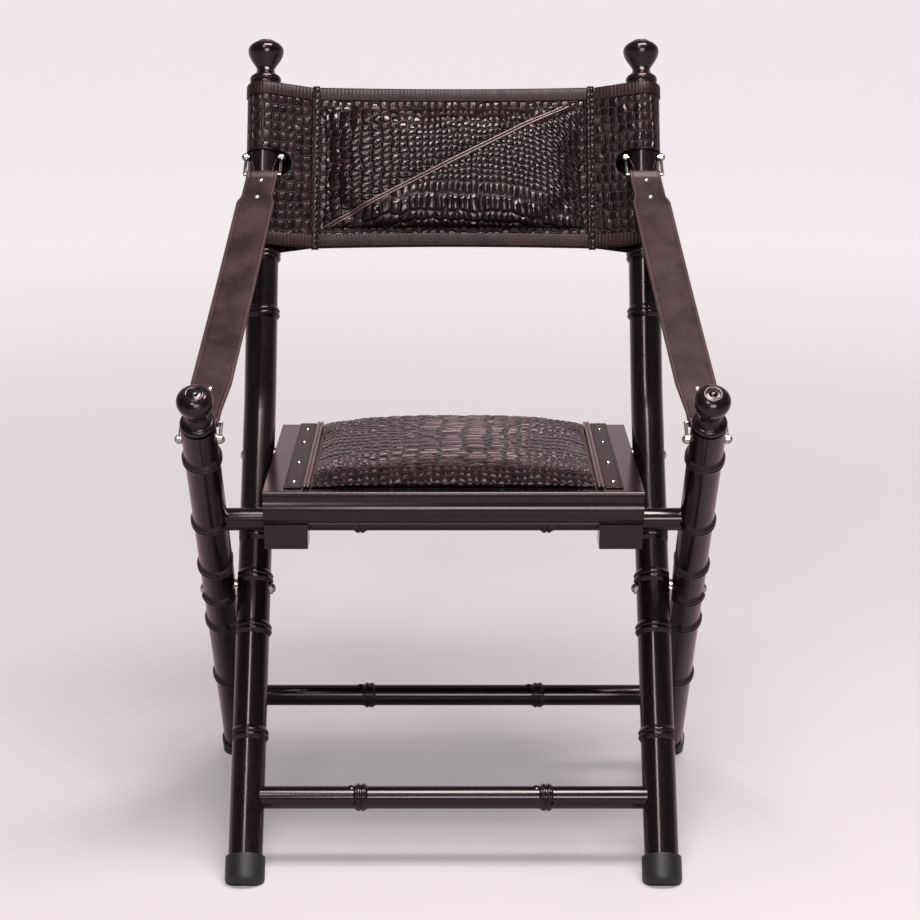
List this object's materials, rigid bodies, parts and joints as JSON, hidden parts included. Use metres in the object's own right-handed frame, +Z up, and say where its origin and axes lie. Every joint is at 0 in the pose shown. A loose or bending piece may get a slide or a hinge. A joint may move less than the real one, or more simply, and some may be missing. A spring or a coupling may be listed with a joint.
{
  "type": "campaign chair",
  "caption": "Folding armchair with crossed bamboo-turned posts, leather back sling, leather arm straps on shackles and a padded seat that lifts off a crossbar.",
  "frame": {"origin": "on the floor, under the middle of the chair's bounding box", "axes": "+Z up, -Y the way a sitter faces, +X to the right of someone looking at the chair's front along +Y"},
  "size_m": [0.6086, 0.6001, 0.9076],
  "materials": {
    "lacquered_wood": "satin black lacquer",
    "croc_leather": "glossy black-brown reptile grain",
    "plain_leather": "smooth, satin, stitched",
    "rubber": "matte",
    "nickel": "polished nickel",
    "plywood": "dark stained"
  },
  "bodies": {
    "back_frame": {"back_post_left": "lacquered_wood", "back_post_right": "lacquered_wood", "back_finial_left": "lacquered_wood", "back_finial_right": "lacquered_wood", "front_foot_left": "rubber", "front_foot_right": "rubber", "front_stretcher": "lacquered_wood", "sling_leather": "croc_leather", "sling_pad": "croc_leather", "sling_bindings": "plain_leather", "sling_seams": "plain_leather", "sling_welts": "plain_leather", "pivot_bolt_left": "nickel", "pivot_bolt_right": "nickel", "pivot_nut_left": "nickel", "pivot_nut_right": "nickel", "pivot_washers": "nickel", "seat_pin_left": "nickel", "seat_pin_right": "nickel", "seat_washers": "nickel", "back_strap_pin_left": "nickel", "back_strap_pin_right": "nickel", "back_rivets": "nickel", "arm_strap_left": "plain_leather", "arm_strap_right": "plain_leather"},
    "arm_frame": {"arm_post_left": "lacquered_wood", "arm_post_right": "lacquered_wood", "arm_finial_left": "lacquered_wood", "arm_finial_right": "lacquered_wood", "rear_foot_left": "rubber", "rear_foot_right": "rubber", "crossbar": "lacquered_wood", "rear_stretcher": "lacquered_wood", "arm_strap_pin_left": "nickel", "arm_strap_pin_right": "nickel", "arm_rivets": "nickel"},
    "seat": {"seat_rail_left": "lacquered_wood", "seat_rail_right": "lacquered_wood", "seat_front_rail": "lacquered_wood", "seat_rear_rail": "lacquered_wood", "seat_board": "plywood", "seat_cushion": "croc_leather", "seat_strip_left": "plain_leather", "seat_strip_right": "plain_leather", "seat_piping_left": "plain_leather", "seat_piping_right": "plain_leather", "seat_nails": "nickel", "notch_block_left": "lacquered_wood", "notch_block_right": "lacquered_wood", "block_screws": "nickel"},
    "back_shackle_left": {"back_shackle_left": "nickel"},
    "back_shackle_right": {"back_shackle_right": "nickel"},
    "arm_shackle_left": {"arm_shackle_left": "nickel"},
    "arm_shackle_right": {"arm_shackle_right": "nickel"}
  },
  "joints": [
    {"name": "fold", "type": "hinge", "parent": "back_frame", "child": "arm_frame", "pos_m": [0, -0.0566, 0.287], "axis": [-1, 0, 0], "range_deg": [0, 52], "deforming": ["arm_strap_left", "arm_strap_right"]},
    {"name": "seat_lift", "type": "hinge", "parent": "back_frame", "child": "seat", "pos_m": [0, 0.04212, 0.4254], "axis": [-1, 0, 0], "range_deg": [0, 107]},
    {"name": "back_shackle_left_rock", "type": "hinge", "parent": "back_frame", "child": "back_shackle_left", "pos_m": [-0.236, 0.21257, 0.76605], "axis": [1, 0, 0], "range_deg": [0, 2]},
    {"name": "arm_shackle_left_rock", "type": "hinge", "parent": "arm_frame", "child": "arm_shackle_left", "pos_m": [-0.2766, -0.24004, 0.51032], "axis": [-1, 0, 0], "range_deg": [0, 2]},
    {"name": "back_shackle_right_rock", "type": "hinge", "parent": "back_frame", "child": "back_shackle_right", "pos_m": [0.236, 0.21257, 0.76605], "axis": [1, 0, 0], "range_deg": [0, 2]},
    {"name": "arm_shackle_right_rock", "type": "hinge", "parent": "arm_frame", "child": "arm_shackle_right", "pos_m": [0.2766, -0.24004, 0.51032], "axis": [-1, 0, 0], "range_deg": [0, 2]}
  ],
  "couplings": [
    {"joint": "seat_lift", "follows": "fold", "ratio": 2.04},
    {"joint": "back_shackle_left_rock", "follows": "fold", "ratio": 0.038},
    {"joint": "arm_shackle_left_rock", "follows": "fold", "ratio": 0.038},
    {"joint": "back_shackle_right_rock", "follows": "fold", "ratio": 0.038},
    {"joint": "arm_shackle_right_rock", "follows": "fold", "ratio": 0.038}
  ]
}
